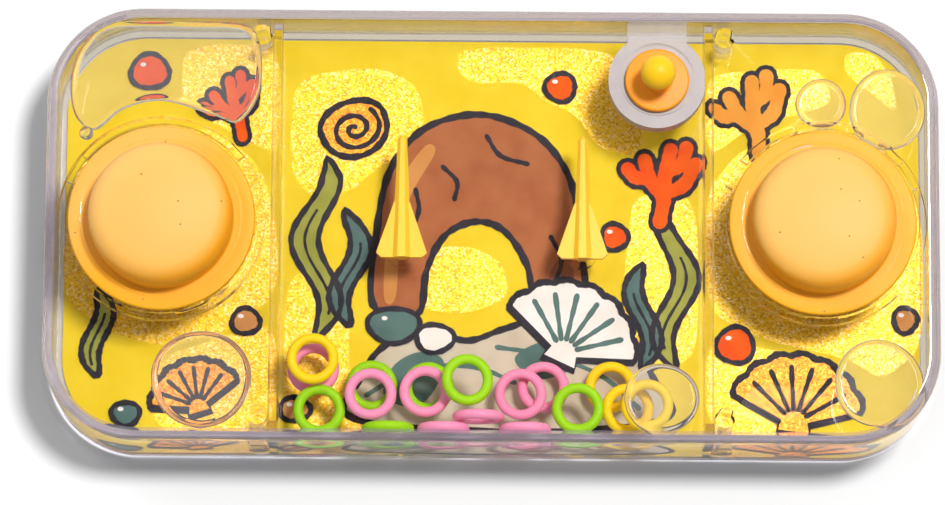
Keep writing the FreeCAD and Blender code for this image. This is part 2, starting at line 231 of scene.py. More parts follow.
def foilGlitterGroup():
    # foil grains: cells whose chance value picks dark, middle or bright, with a bump that tips each its own way
    group, start, end = newGroup(
        "foilGlitter", [("Scale", "Float"), ("Dark", "Color"), ("Middle", "Color"), ("Bright", "Color")],
        [("Color", "Color"), ("Normal", "Vector")])
    place = addNode(group, "TexCoord")["Object"]
    cells = addNode(group, "TexVoronoi", {"Vector": place, "Scale": start["Scale"]}, voronoi_dimensions="2D")
    chance = addNode(group, "SeparateColor", {"Color": cells["Color"]})
    low = addNode(group, "MapRange", {"Value": chance["Red"], "From Max": foilGrain["darkTo"]})
    high = addNode(group, "MapRange", {"Value": chance["Red"], "From Min": foilGrain["brightFrom"]})
    dim = mixColours(group, low["Result"], start["Dark"], start["Middle"])
    bump = addNode(group, "Bump", {"Height": chance["Green"], "Distance": foilGrain["tip"]})
    feed(group, end, {"Color": mixColours(group, high["Result"], dim, start["Bright"]), "Normal": bump["Normal"]})
    return group


mouldedSkin = mouldedSkinGroup()
foilGlitter = foilGlitterGroup()


def grained(tree, shader, grain, colour, shine=None):
    # gives a shader its colour and shine and the moulded skin's roughness and normal, and gives the skin's outputs
    skin = addNode(tree, "Group", grain, node_tree=mouldedSkin)
    feed(tree, shader, {"Base Color": colour, "Roughness": skin["Roughness"], "Normal": skin["Normal"]})
    if shine is not None:
        feed(tree, shader, {"Specular IOR Level": shine})
    return skin


clearSkin = {
    "grain": {"Scale": 260.0, "Depth": 0.0000002},
    "behind": 0.8,  # how open a face is to lamps from inside the plastic
    "shut": 0.1, "open": 0.8,  # where the shade of walls ends and that of level faces begins
    "wallBlue": 1.05, "levelBlue": 1.02,
}


def clearPlastic(name, tint, ior, roughness, wallRoughness, sideShade,
                 levelShade=1.0, clearness=1.0, backTint=None):
    # polished clear plastic: it bends what shows through it, its upright walls are duller than the window,
    # and lamps shine through it, less where their light comes in through an upright wall
    material, tree, shader = newMaterial(name)
    geometry = addNode(tree, "NewGeometry")
    skin = grained(tree, shader, {**clearSkin["grain"], "Roughness": roughness, "Spread": roughness}, tint)
    if backTint:  # another tint where it is seen from inside the plastic
        feed(tree, shader, {"Base Color": mixColours(tree, geometry["Backfacing"], tint, backTint)})
    level = compute(tree, "ABSOLUTE", partOf(tree, geometry["Normal"], "Z"))  # 1 on level faces, 0 on upright ones
    upright = compute(tree, "SUBTRACT", 1.0, level)
    feed(tree, shader, {
        "Transmission Weight": clearness, "IOR": ior,
        "Roughness": compute(tree, "MULTIPLY_ADD", upright, wallRoughness, skin["Roughness"])})
    inside = compute(tree, "MULTIPLY", geometry["Backfacing"], clearSkin["behind"])
    shade = ramp(tree, compute(tree, "MAXIMUM", level, inside), [
        (clearSkin["shut"], (sideShade, sideShade, sideShade * clearSkin["wallBlue"], 1.0)),
        (clearSkin["open"], (levelShade, levelShade, levelShade * clearSkin["levelBlue"], 1.0))])
    light = addNode(tree, "LightPath")
    letThrough(tree, shader, compute(tree, "MAXIMUM", light["Is Shadow Ray"], light["Is Diffuse Ray"]), shade)
    return material


softSkin = {"grain": {"Scale": 700.0, "Spread": 0.12, "Depth": 0.00002}, "shine": 0.3}


def topLitMoulding(name, top, side, lowZ, highZ, roughness):
    # a moulding whose colour runs smoothly from its side to its top between two heights: painted light, the top
    # lighter and the side deeper
    material, tree, shader = newMaterial(name)
    height = addNode(tree, "MapRange", {
        "Value": partOf(tree, addNode(tree, "TexCoord")["Object"], "Z"), "From Min": lowZ, "From Max": highZ,
    }, interpolation_type="SMOOTHSTEP")
    colour = mixColours(tree, height["Result"], paint(*side), paint(*top))
    grained(tree, shader, {**softSkin["grain"], "Roughness": roughness}, colour, softSkin["shine"])
    return material


buttonSkin = {
    "roughness": 0.5,
    # the deep orange stops of the gap and the side are painted shade, the light dome stops painted light
    "stops": [  # colours of 0 to 255, from the flange's rim to the dome
        (0.0, (248, 176, 0)), (0.25, (250, 174, 0)), (0.42, (253, 176, 30)), (0.55, (253, 164, 14)),
        (0.70, (252, 168, 22)), (0.88, (252, 186, 84)), (1.0, (253, 192, 99))],
    # the light peach colour is painted light, the speck colour that of real dark flecks
    "paintedPale": (255, 208, 130), "speck": (172, 124, 56),
    "specks": 210.0, "speckReach": 0.034, "speckChance": 0.8, "speckLevel": 0.7,
}


def buttonMaterial():
    # a ramp from the yellow flange through deep orange in the gap of the window hole and up the side to a light peach
    # dome, by the mesh's shade ramp value: the deep orange is painted shade and the dome painted light; lighter still
    # by the painted light on the upper left; with dark specks where a face is level, a cell's chance value is high and
    # its middle near
    material, tree, shader = newMaterial("buttonRubber")
    # the two attributes carry painted shade and painted light
    shadeTone = addNode(tree, "Attribute", attribute_name="ringTone")["Fac"]
    paintedPale = addNode(tree, "Attribute", attribute_name="ringPale")["Fac"]
    stops = [(place, paint(*stop)) for place, stop in buttonSkin["stops"]]
    colour = mixColours(tree, paintedPale, ramp(tree, shadeTone, stops), paint(*buttonSkin["paintedPale"]))
    place = addNode(tree, "TexCoord")["Object"]
    dots = addNode(tree, "TexVoronoi", {"Vector": place, "Scale": buttonSkin["specks"]}, voronoi_dimensions="2D")
    chance = addNode(tree, "SeparateColor", {"Color": dots["Color"]})["Blue"]
    upward = partOf(tree, addNode(tree, "NewGeometry")["Normal"], "Z")
    near = compute(tree, "LESS_THAN", dots["Distance"], buttonSkin["speckReach"])
    chosen = compute(tree, "GREATER_THAN", chance, buttonSkin["speckChance"])
    level = compute(tree, "GREATER_THAN", upward, buttonSkin["speckLevel"])
    speck = compute(tree, "MULTIPLY", compute(tree, "MULTIPLY", near, chosen), level)
    grained(tree, shader, {**softSkin["grain"], "Roughness": buttonSkin["roughness"]},
            mixColours(tree, speck, colour, paint(*buttonSkin["speck"])), softSkin["shine"])
    return material


cloudySkin = {
    "colour": (182, 173, 168),
    "grain": {"Scale": 400.0, "Roughness": 0.35, "Spread": 0.1, "Depth": 0.00001},
    "thin": {"From Min": 0.0305, "From Max": 0.0335, "To Min": 0.86, "To Max": 0.25},  # m along Y, and opacities
}


def cloudyMaterial():
    # milky plastic, whose opacity falls evenly where the neck thins towards the top wall
    material, tree, shader = newMaterial("cloudyPlastic")
    height = partOf(tree, addNode(tree, "TexCoord")["Object"], "Y")
    grained(tree, shader, cloudySkin["grain"], paint(*cloudySkin["colour"]))
    feed(tree, shader, {"Alpha": addNode(tree, "MapRange", {"Value": height, **cloudySkin["thin"]})["Result"]})
    return material


inkSkin = {
    "grain": {"Scale": 1500.0, "Roughness": 0.55, "Spread": 0.1, "Depth": 0.00001},
    "mottle": {"From Min": 0.35, "From Max": 0.6},
    "shine": 0.08,  # it lies under water, so it hardly shines
}
foilSkin = {"scale": 3600.0, "skin": {"Metallic": 0.15, "Roughness": 0.45, "Specular IOR Level": 0.2}}


def printedInk(name, colour, shade):
    # flat ink on card with a faint crayon grain: from its shade to its colour by the skin's mottle
    material, tree, shader = newMaterial(name)
    skin = grained(tree, shader, inkSkin["grain"], paint(*colour), inkSkin["shine"])
    sharper = addNode(tree, "MapRange", {"Value": skin["Mottle"], **inkSkin["mottle"]})["Result"]
    feed(tree, shader, {"Base Color": mixColours(tree, sharper, paint(*shade), paint(*colour))})
    return material


def glitterInk(name, dark, middle, bright):
    # foil print: the glitter's colour and normal on a slightly metallic, dull skin
    material, tree, shader = newMaterial(name)
    foil = addNode(tree, "Group", {
        "Scale": foilSkin["scale"], "Dark": paint(*dark), "Middle": paint(*middle), "Bright": paint(*bright),
    }, node_tree=foilGlitter)
    feed(tree, shader, {"Base Color": foil["Color"], "Normal": foil["Normal"], **foilSkin["skin"]})
    return material


# camera and light

view = {
    "focus": (-3.26, -5.04, 18.0),  # mm, where the middle of the picture looks
    "distance": 880.0, "tilt": 11.6, "roll": 0.44,  # mm from there, degrees off the window's normal, degrees
    "lens": 200.8, "sensor": 36.0, "nearest": 0.01, "farthest": 20.0,
}


def makeCamera():
    # stands back from the focus along the window's normal, tilted towards the lower edge
    camera = bpy.data.objects.new("camera", bpy.data.cameras.new("camera"))
    bpy.context.scene.collection.objects.link(camera)
    camera.data.lens = view["lens"]
    camera.data.sensor_width = view["sensor"]
    camera.data.clip_start = view["nearest"]
    camera.data.clip_end = view["farthest"]
    tilt = math.radians(view["tilt"])
    place = np.array(view["focus"]) + view["distance"] * np.array([0.0, -math.sin(tilt), math.cos(tilt)])
    camera.location = (place * mm).tolist()
    camera.rotation_euler = (tilt, 0.0, 0.0)
    camera.rotation_euler.rotate_axis("Z", math.radians(view["roll"]))
    bpy.context.scene.camera = camera


lamps = {
    "key": {"place": (0.37, 0.25, 1.30), "size": 0.28, "watts": 15.4, "colour": (1.0, 0.99, 0.98)},
    "side": {"place": (-0.85, 0.75, 1.05), "size": 0.6, "watts": 3.2, "colour": (1.0, 1.0, 1.0)},
}
sky = {  # stops by height, 0 at the horizon and 1 overhead
    "shade": [(0.0, (0.42, 0.42, 0.46, 1.0)), (0.75, (1.0, 1.0, 1.0, 1.0))],  # what lights the scene
    "mirrored": [(0.0, (0.42, 0.42, 0.46, 1.0)), (0.2, (1.55, 1.4, 1.6, 1.0)),  # what polished faces show
                 (0.6, (1.55, 1.4, 1.6, 1.0)), (0.85, (0.10, 0.09, 0.10, 1.0))],
    "white": (2.7, 2.7, 2.7, 1.0),  # what the camera sees of it, and what lights the back
    "strength": 0.37,
}


def makeLamps():
    # round lamps, each turned to face the origin
    for name, lamp in lamps.items():
        light = bpy.data.lights.new(name, "AREA")
        light.shape = "DISK"
        light.size = lamp["size"]
        light.energy = lamp["watts"]
        light.color = lamp["colour"]
        holder = bpy.data.objects.new(name, light)
        bpy.context.scene.collection.objects.link(holder)
        holder.location = lamp["place"]
        x, y, z = lamp["place"]
        holder.rotation_euler = (math.atan2(math.hypot(x, y), z), 0.0, math.atan2(-y, -x) - math.pi / 2)


def makeSky():
    # a shade by height for soft light, another for polished faces, and white for the camera and below the horizon
    world = bpy.data.worlds.new("studio")
    bpy.context.scene.world = world
    world.use_nodes = True
    tree = world.node_tree
    height = partOf(tree, addNode(tree, "TexCoord")["Generated"], "Z")
    light = addNode(tree, "LightPath")
    polished = compute(tree, "MAXIMUM", light["Is Glossy Ray"], light["Is Transmission Ray"])
    shown = mixColours(tree, polished, ramp(tree, height, sky["shade"]), ramp(tree, height, sky["mirrored"]))
    plain = compute(tree, "MAXIMUM", compute(tree, "LESS_THAN", height, 0.0), light["Is Camera Ray"])
    feed(tree, tree.nodes["Background"], {
        "Color": mixColours(tree, plain, shown, sky["white"]), "Strength": sky["strength"]})
    bpy.context.scene.view_settings.view_transform = "Standard"


paper = {
    "half": 3.0, "low": -0.00003, "near": 0.001,  # m: half size, a hair under the case, reach of close light
    "colour": (0.96, 0.96, 0.96, 1.0), "roughness": 0.9,
}


def makeFloor():
    # a square that from below lets the view through, and lets soft light from close above it through to the back
    half, low = paper["half"], paper["low"]
    mesh = bpy.data.meshes.new("floor")
    corners = [(-half, -half, low), (half, -half, low), (half, half, low), (-half, half, low)]
    mesh.from_pydata(corners, [], [(0, 1, 2, 3)])
    floor = bpy.data.objects.new("floor", mesh)
    bpy.context.scene.collection.objects.link(floor)
    material, tree, shader = newMaterial("floorPaper")
    feed(tree, shader, {"Base Color": paper["colour"], "Roughness": paper["roughness"], "Specular IOR Level": 0.0})
    light = addNode(tree, "LightPath")
    close = compute(tree, "LESS_THAN", light["Ray Length"], paper["near"])
    soft = compute(tree, "MULTIPLY", close, light["Is Diffuse Ray"])
    letThrough(tree, shader, compute(tree, "MAXIMUM", soft, addNode(tree, "NewGeometry")["Backfacing"]))
    mesh.materials.append(material)


makeCamera()
makeLamps()
makeSky()
makeFloor()
print("stage: camera, light and floor")


# materials of the pieces

clearFinishes = {
    # tint, IOR, roughness, more of it on walls, light let through by walls and by level faces, clearness, back tint
    "caseRim": ((0.58, 0.52, 0.62, 1.0), 1.49, 0.02, 0.08, 0.06, 0.9, 0.8),  # rounded rim, against the air; its dark lilac tint and milky share are painted shade, the rim's dim reflections
    "caseWall": ((0.86, 0.83, 0.88, 1.0), 1.49, 0.02, 0.04, 0.06, 0.9, 0.9),  # upright outer walls, with a lighter painted lilac shade of the same kind
    "caseClear": ((0.99, 0.98, 1.0, 1.0), 1.49, 0.02, 0.03, 0.97),  # window and its holes
    "caseWet": ((0.995, 0.985, 0.985, 1.0), 1.17, 0.01, 0.1, 0.97),  # against the water inside
    "caseInner": (  # inside of the walls, tinted yellow: a painted reflection of the card's yellow
        (0.58, 0.52, 0.3, 1.0), 1.17, 0.02, 0.1, 0.97, 1.0, 1.0, (0.98, 0.97, 0.95, 1.0)),
    "caseFoot": ((0.44, 0.37, 0.2, 1.0), 1.49, 0.02, 0.08, 0.97),  # rest rim around the card, its dark yellow tint painted shade under the rim with the card's yellow painted in
    # partition sides: the darker brownish tint is painted shade, a soft dark band
    "casePartition": ((0.74, 0.66, 0.72, 1.0), 1.17, 0.05, 0.1, 0.9),
    "bubbleSkin": ((0.94, 0.94, 0.92, 1.0), 1.45, 0.01, 0.0, 0.97, 1.0, 0.95),
}
clear = {name: clearPlastic(name, *finish) for name, finish in clearFinishes.items()}
buttonRubber = buttonMaterial()
# pegs, plug and rings: each colour pair is a painted lighter top over a deeper side
pegPlastic = topLitMoulding("pegPlastic", (255, 206, 48), (255, 182, 24), 0.0085, 0.0118, 0.3)
plugRubber = topLitMoulding("plugRubber", (255, 202, 20), (255, 160, 26), 0.0182, 0.0215, 0.42)
ringInks = {
    "yellow": topLitMoulding("ringYellow", (255, 216, 0), (255, 204, 0), 0.0, 0.017, 0.6),
    "green": topLitMoulding("ringGreen", (158, 216, 0), (146, 204, 0), 0.0, 0.017, 0.6),
    "pink": topLitMoulding("ringPink", (252, 152, 184), (246, 142, 174), 0.0, 0.017, 0.6),
}


def dress(node, material):
    # gives a CAD node that stays its finish
    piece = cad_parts[node]
    if not piece.material_slots:
        piece.data.materials.append(material)
    for socket in piece.material_slots:
        socket.material = material


dress("filler_neck", cloudyMaterial())
for side in ("left", "right"):
    dress(side + "_peg", pegPlastic)
print("stage: materials")


# clear case: smooth copies of the CAD solids, drawn apart by a hair where they touch, wet faces told from dry ones

case = {
    "halfX": 75.0, "halfY": 37.0, "corner": 16.0,  # mm, the outline
    "skin": 0.4, "innerFrom": 1.5, "rim": 3.2,  # mm inside it: the outer face, the wall's inside, the rim's end
    "seam": 4.3, "plateTop": 2.6, "windowBack": 16.2, "flangeBack": 14.8, "top": 18.0,  # mm, levels
    "partition": 36.4, "partitionHalf": 1.0, "partitionFoot": 0.3, "partitionY": 35.0,  # mm
    "hair": 0.03, "margin": 0.05, "sameLevel": 0.002,  # mm
    "level": 0.98, "upright": 0.1,  # how much of its normal a level or upright face has along Z
    "sharp": 38.0, "flat": 0.5,  # degrees, between faces that keep their edge or lose it
    "finishes": ["caseRim", "caseClear", "caseWet", "casePartition", "caseWall", "caseInner", "caseFoot"],
}
rimFace, windowFace, wetFace, partitionFace, wallFace, innerFace, footFace = range(len(case["finishes"]))


def insetOf(points):
    # how far points lie inside the case's rounded outline: a rounded rectangle's distance, turned round
    away = np.abs(points[:, :2]) - [case["halfX"] - case["corner"], case["halfY"] - case["corner"]]
    outside = np.linalg.norm(np.maximum(away, 0), axis=1)
    return case["corner"] - outside - np.minimum(away.max(axis=1), 0)


def keepFlats(piece):
    # normals weighed by area, so that the large flats stay flat beside the rounds
    flatter = piece.modifiers.new("evenNormals", "WEIGHTED_NORMAL")
    flatter.mode = "FACE_AREA"
    flatter.weight = 100
    flatter.keep_sharp = True


def finishOf(centres, inset, slope, wetFrom, wetTo):
    # each face's place in the list of finishes, by where its centre is, how far inside the outline its farthest
    # corner lies and how level it is: the window's or the rim's, then the water's between two levels, and so on
    x, y, z = np.abs(centres[:, 0]), np.abs(centres[:, 1]), centres[:, 2]
    level, upright, low = slope > case["level"], slope < case["upright"], z < case["skin"]
    outer = inset < case["skin"]
    rim = outer | ((inset < case["rim"]) & (~level | low))
    finish = np.where(rim, rimFace, windowFace)
    finish[outer & upright] = wallFace
    wet = ~outer & (z > wetFrom) & (z < wetTo)
    finish[wet] = wetFace
    beside = wet & (np.abs(x - case["partition"]) < case["partitionHalf"]) & (y < case["partitionY"])
    finish[beside & (z > case["plateTop"] + case["partitionFoot"])] = partitionFace
    inner = (finish == wetFace) & (inset > case["innerFrom"]) & (inset < case["rim"]) & upright
    finish[inner & (z > case["plateTop"] + case["margin"])] = innerFace
    finish[rim & level & low] = footFace
    return finish


def clearCopy(name, node, moves, wetFrom=None, wetTo=None):
    # a merged copy of a CAD solid, wet all over unless the levels of the water are given;
    # moves are (height, shift) of the levels where it would touch its neighbour
    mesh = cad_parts[node].data.copy()
    mesh.name = name
    mesh.materials.clear()
    work = bmesh.new()
    work.from_mesh(mesh)
    bmesh.ops.remove_doubles(work, verts=work.verts, dist=merge)
    bmesh.ops.dissolve_limit(work, angle_limit=math.radians(case["flat"]), verts=work.verts, edges=work.edges)
    work.to_mesh(mesh)
    work.free()
    points = valuesOf(mesh.vertices, "co", 3)
    for height, shift in moves:
        points[np.abs(points[:, 2] - height * mm) < case["sameLevel"] * mm, 2] += shift * mm
    mesh.vertices.foreach_set("co", points.ravel())
    mesh.shade_smooth()
    mesh.set_sharp_from_angle(angle=math.radians(case["sharp"]))
    finishes = ["caseWet"] if wetFrom is None else case["finishes"]
    piece = addPiece(name, mesh, "case", clear[finishes[0]], [node])
    for finish in finishes[1:]:
        mesh.materials.append(clear[finish])
    if wetFrom is not None:
        centres = valuesOf(mesh.polygons, "center", 3) / mm
        slope = np.abs(valuesOf(mesh.polygons, "normal", 3)[:, 2])
        corners = valuesOf(mesh.loops, "vertex_index", 1, np.int32).ravel()
        starts = valuesOf(mesh.polygons, "loop_start", 1, np.int32).ravel()
        farthest = np.maximum.reduceat(insetOf(points / mm)[corners], starts)
        finish = finishOf(centres, farthest, slope, wetFrom, wetTo)
        mesh.polygons.foreach_set("material_index", finish.astype(np.int32))
    mesh.update()
    keepFlats(piece)


hair = case["hair"]
clearCopy("frontShell", "front_shell", [(case["seam"], hair)], 0.0, case["windowBack"] + case["margin"])
clearCopy("rearShell", "rear_shell", [(case["windowBack"], -hair)], case["plateTop"] - case["margin"], case["top"])
clearCopy("leftClampRing", "left_clamp_ring", [(case["flangeBack"], -hair)])
clearCopy("rightClampRing", "right_clamp_ring", [(case["flangeBack"], -hair)])
print("stage: clear case")


# soft buttons: one smooth moulding each, over the crown and neck solids

button = {
    "edgeRound": 3.2, "rise": 0.7, "skin": 1.5, "clearance": 0.06, "window": 1.8, "flangeInset": 0.035,  # mm
    "flangeRound": 0.35, "ledge": [1.7, 1.45, 1.15, 0.8, 0.35],  # mm, the last are points beyond the crown's side
    "edgeTo": 78.0,  # degrees, where the rounded edge goes over into the dome
    "smallSteps": 5, "wallSteps": 8, "edgeSteps": 14, "domeSteps": 12, "ceilingSteps": 6, "insideSteps": 10,
    "around": 160,
    # beyond and below the crown's side the ramp paints shade: deep orange in the window's gap and down the side
    "beyond": ([0.0, 1.0, 1.5, 3.2], [0.45, 0.42, 0.25, 0.05]),  # mm beyond the crown's side, and the tone there
    "below": ([0.0, 1.6, 3.0, 7.5], [1.0, 0.88, 0.64, 0.45]),  # mm below the top, and the tone there
    "edge": 0.02,  # mm, how far the crown reaches past its side
    "lean": 0.28, "leanFrom": 0.5, "paintedLightGain": 0.6,  # painted light: gains on the upper left, of the ramp value and of the painted light share
    "paintedLightMost": {"left": 0.35, "right": 0.1},  # share of painted light colour on the side towards the lamp
}


def setPaintedShading(mesh, centre, outer, top, paintedLightMost):
    # painted shade and light: 0 at the flange's rim, 0.25 to 0.42 where the window's hole begins, then up the side to
    # 1 on the dome, and a little more towards the upper left by the cube of the radius; the painted light share grows
    # there from half the radius out
    points = valuesOf(mesh.vertices, "co", 3) / mm
    x, y = points[:, 0] - centre[0] / mm, points[:, 1] - centre[1] / mm
    radius, reach = np.hypot(x, y), outer / mm
    shadeTone = np.where(radius > reach + button["edge"], np.interp(radius - reach, *button["beyond"]),
                    np.interp(top / mm - points[:, 2], *button["below"]))
    slant = (y - x) / reach / 2  # 0.7 upper left, -0.7 lower right
    gain = button["lean"] * slant * np.minimum(radius / reach, 1) ** 3
    shadeTone = np.clip(shadeTone + gain * (shadeTone > button["leanFrom"]), 0, 1)
    paintedPale = np.clip(button["paintedLightGain"] * slant, 0, paintedLightMost) * np.clip(radius / reach * 2 - 1, 0, 1)
    for name, values in (("ringTone", shadeTone), ("ringPale", paintedPale)):
        mesh.attributes.new(name, "FLOAT", "POINT").data.foreach_set("value", values.astype(np.float32))


def makeButton(side):
    # a cup turned about its axis: the held flange, a rounded step, the wall, a rounded edge, a dome that falls with
    # the square of the radius, and the hollow inside
    low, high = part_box(side + "_button_crown")
    neckLow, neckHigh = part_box(side + "_button_neck")
    centre = ((low[0] + high[0]) / 2, (low[1] + high[1]) / 2)
    small, edge, rise, gap, skin, window, inset = (
        button[size] * mm
        for size in ("flangeRound", "edgeRound", "rise", "clearance", "skin", "window", "flangeInset"))
    outer = (high[0] - low[0]) / 2
    flange = (neckHigh[0] - neckLow[0]) / 2 - inset - small
    inner, flat = outer - skin, outer - edge
    edgeZ = high[2] - rise - edge
    flangeLow = neckLow[2] + gap
    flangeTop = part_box("front_shell")[1][2] - window - gap
    edgeEnd = math.radians(button["edgeTo"])
    domeReach, domeZ = flat + edge * math.cos(edgeEnd), edgeZ + edge * math.sin(edgeEnd)
    dome = np.linspace(domeReach, 0, button["domeSteps"])[1:]
    ceiling = high[2] - skin - rise
    steps = button["smallSteps"]
    profile = np.vstack([
        [(inner, flangeLow), (flange, flangeLow)],
        arcPoints((flange, flangeLow + small), small, -90, 0, steps),
        arcPoints((flange, flangeTop - small), small, 0, 90, steps),
        pairs(outer + np.array(button["ledge"]) * mm, flangeTop),
        arcPoints((outer + small, flangeTop + small), small, 270, 180, steps),
        pairs(outer, np.linspace(flangeTop + 2 * small, edgeZ, button["wallSteps"])),
        arcPoints((flat, edgeZ), edge, 0, button["edgeTo"], button["edgeSteps"]),
        pairs(dome, domeZ + (high[2] - domeZ) * (1 - (dome / domeReach) ** 2)),
        [(0.0, ceiling), (inner - edge / 2, ceiling)],
        arcPoints((inner - edge / 2, ceiling - edge / 2), edge / 2, 90, 0, button["ceilingSteps"]),
        pairs(inner, np.linspace(ceiling - edge / 2, flangeLow, button["insideSteps"])[1:])])
    mesh = turnedMesh(side + "Button", profile, centre, button["around"])
    # paints the ramp's shade and the upper left's light into the mesh
    setPaintedShading(mesh, centre, outer, high[2], button["paintedLightMost"][side])
    piece = addPiece(side + "Button", mesh, "case", buttonRubber)
    piece.parent = None  # the blend carries it instead
    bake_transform(piece)
    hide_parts(side + "_button_crown", side + "_button_neck")


for side in ("left", "right"):
    makeButton(side)
print("stage: buttons")


# filler plug

plug = {
    "knob": 2.95, "neck": 2.2, "stem": 3.1, "flangeTop": 1.2, "lift": 0.02,  # mm
    "flangeRound": 0.4, "neckRound": 0.6, "stemRound": 0.5,  # mm
    "stemSteps": 5, "lowerSteps": 4, "upperSteps": 8, "neckSteps": 6, "knobSteps": 22, "around": 96,
}


def makePlug():
    # turned about its axis: a stem, a flange that is rounded below and above, a neck, and a ball as the knob
    low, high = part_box("filler_plug")
    centre = ((low[0] + high[0]) / 2, (low[1] + high[1]) / 2)
    knob, neck, stem, lift, small, neckRound, stemRound = (
        plug[size] * mm for size in ("knob", "neck", "stem", "lift", "flangeRound", "neckRound", "stemRound"))
    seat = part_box("filler_neck")[1][2] + lift
    flange = (high[0] - low[0]) / 2
    flangeTop = seat + plug["flangeTop"] * mm
    knobFrom = -math.degrees(math.acos(neck / knob))
    profile = np.vstack([
        [(0.0, low[2])],
        arcPoints((stem - stemRound, low[2] + stemRound), stemRound, -90, 0, plug["stemSteps"]),
        [(stem, seat)],
        arcPoints((flange - small / 2, seat + small / 2), small / 2, -90, 0, plug["lowerSteps"]),
        arcPoints((flange - small, flangeTop - small), small, 0, 90, plug["upperSteps"]),
        arcPoints((neck + neckRound, flangeTop + neckRound), neckRound, 270, 180, plug["neckSteps"]),
        arcPoints((0.0, high[2] - knob), knob, knobFrom, 90, plug["knobSteps"])])
    mesh = turnedMesh("fillerPlug", profile, centre, plug["around"])
    addPiece("fillerPlug", mesh, "filler_plug", plugRubber, ["filler_plug"])


makePlug()
print("stage: plug")


# rings

ring = {
    "section": 0.85,  # mm
    "around": 72, "across": 20,
    "turns": {"ring_green_4": 12.0},  # degrees about Y
    "sharp": 80.0,  # degrees
}


def makeRing(node):
    # a round section of one radius carried round a circle of another, laid on edge where the CAD ring stands on edge
    low, high = np.array(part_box(node))
    size = high - low
    section = ring["section"] * mm
    around = np.linspace(0, 2 * np.pi, ring["around"], endpoint=False)[:, None]
    across = np.linspace(0, 2 * np.pi, ring["across"], endpoint=False)[None, :]
    reach = size.max() / 2 - section + section * np.cos(across)
    x, y = reach * np.cos(around), reach * np.sin(around)
    z = np.broadcast_to(section * np.sin(across), x.shape)
    grid = np.stack([x, z, -y] if size[1] < size[2] else [x, y, z], -1)
    turn = math.radians(ring["turns"].get(node, 0.0))
    spin = np.array([[math.cos(turn), 0, math.sin(turn)], [0, 1, 0], [-math.sin(turn), 0, math.cos(turn)]])
    points = grid.reshape(-1, 3) @ spin.T + (low + high) / 2
    colour, number = node.split("_")[1:]
    mesh = cleanMesh("ring" + colour.capitalize() + number, points,
                     gridFaces(ring["around"], ring["across"], loopRows=True, loopColumns=True), ring["sharp"])
    addPiece(mesh.name, mesh, node, ringInks[colour], [node])


for node in sorted(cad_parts):
    if node.startswith("ring_"):
        makeRing(node)
print("stage: rings")


# printed card

card = {
    "corner": 13.4, "low": 0.20, "top": 0.44, "layer": 0.022, "hair": 0.001, "hairs": 18,  # mm, but the last
    "cornerSteps": 16, "sharp": 40.0,
    "back": ((238, 234, 224), (228, 223, 212)),  # colour and shade of the bare board, of 0 to 255
}
inkColours = {  # colour and shade, of 0 to 255
    "plain": ((247, 214, 44), (241, 206, 30)), "brown": ((178, 108, 62), (164, 94, 50)),
    "tan": ((214, 150, 78), (202, 136, 66)), "cream": ((214, 200, 168), (202, 186, 152)),
    "sage": ((92, 120, 108), (78, 106, 94)), "olive": ((168, 168, 70), (150, 152, 58)),
    "umber": ((140, 84, 58), (128, 74, 50)), "orange": ((248, 98, 10), (236, 76, 4)),
    "amber": ((246, 168, 62), (238, 150, 44)), "white": ((250, 244, 226), (240, 232, 210)),
    "line": ((44, 40, 44), (30, 28, 32)),
}
foilColours = {  # dark, middle and bright grains, of 0 to 255
    "glitter": ((208, 146, 0), (250, 200, 24), (255, 228, 150)),
    "gold": ((190, 92, 0), (236, 150, 10), (252, 198, 70)),
}
inks = {name: printedInk("ink" + name.capitalize(), *colours) for name, colours in inkColours.items()}
inks.update({name: glitterInk("ink" + name.capitalize(), *colours) for name, colours in foilColours.items()})


def roundedOutline(halfX, halfY, radius, steps):
    # a quarter circle at each corner of a rectangle, anticlockwise
    angle = np.radians(np.linspace(0, 90, steps))
    corners = []
    for number, (sideX, sideY) in enumerate(((1, 1), (-1, 1), (-1, -1), (1, -1))):
        turned = angle + number * math.pi / 2
        corners.append(np.stack([sideX * (halfX - radius) + radius * np.cos(turned),
                                 sideY * (halfY - radius) + radius * np.sin(turned)], -1))
    return np.concatenate(corners)


def makeCard():
    # the rounded outline of the CAD card at two levels, with printed ink above and bare board below
    low, high = np.array(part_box("backing_card")) / mm
    outline = roundedOutline((high[0] - low[0]) / 2, (high[1] - low[1]) / 2, card["corner"], card["cornerSteps"])
    count = len(outline)
    levels = [np.column_stack([outline, np.full(count, z)]) for z in (card["low"], card["top"])]
    faces = gridFaces(2, count, loopColumns=True) + [list(range(count)), list(range(count, 2 * count))]
    mesh = cleanMesh("printedCard", np.concatenate(levels) * mm, faces)
    addPiece("printedCard", mesh, "case", inks["plain"], ["backing_card"])
    mesh.materials.append(printedInk("cardBack", *card["back"]))
    mesh.polygons[-2].material_index = 1  # the face underneath


makeCard()
print("stage: card")


# the picture on the card: a made-up sea garden of rocks, shells, weed and coral

prints = {ink: ([], []) for ink in inks}
drawnInLayer = {}
pen = {
    "spanSteps": 10, "wobble": 0.12, "slow": 0.61, "fast": 1.7, "late": 2,  # the wobble's waves, radians per point
    "endSteps": 12,
}


def heightOf(layer):
    # each shape of a layer lies a hair above the one before, so that no two faces share a plane
    drawnInLayer[layer] = drawnInLayer.get(layer, 0) + 1
    return card["top"] + card["layer"] * layer + card["hair"] * (drawnInLayer[layer] % card["hairs"])


def spans(*corners):
    # from each second corner to its third a cubic, which leaves each of them along the line of its neighbours
    a, b, c, d = (points[:, None, :] for points in corners)
    t = np.linspace(0, 1, pen["spanSteps"], endpoint=False)[None, :, None]
    curve = 0.5 * (2 * b + (c - a) * t + (2 * a - 5 * b + 4 * c - d) * t ** 2 + (3 * b - a - 3 * c + d) * t ** 3)
    return curve.reshape(-1, 2)


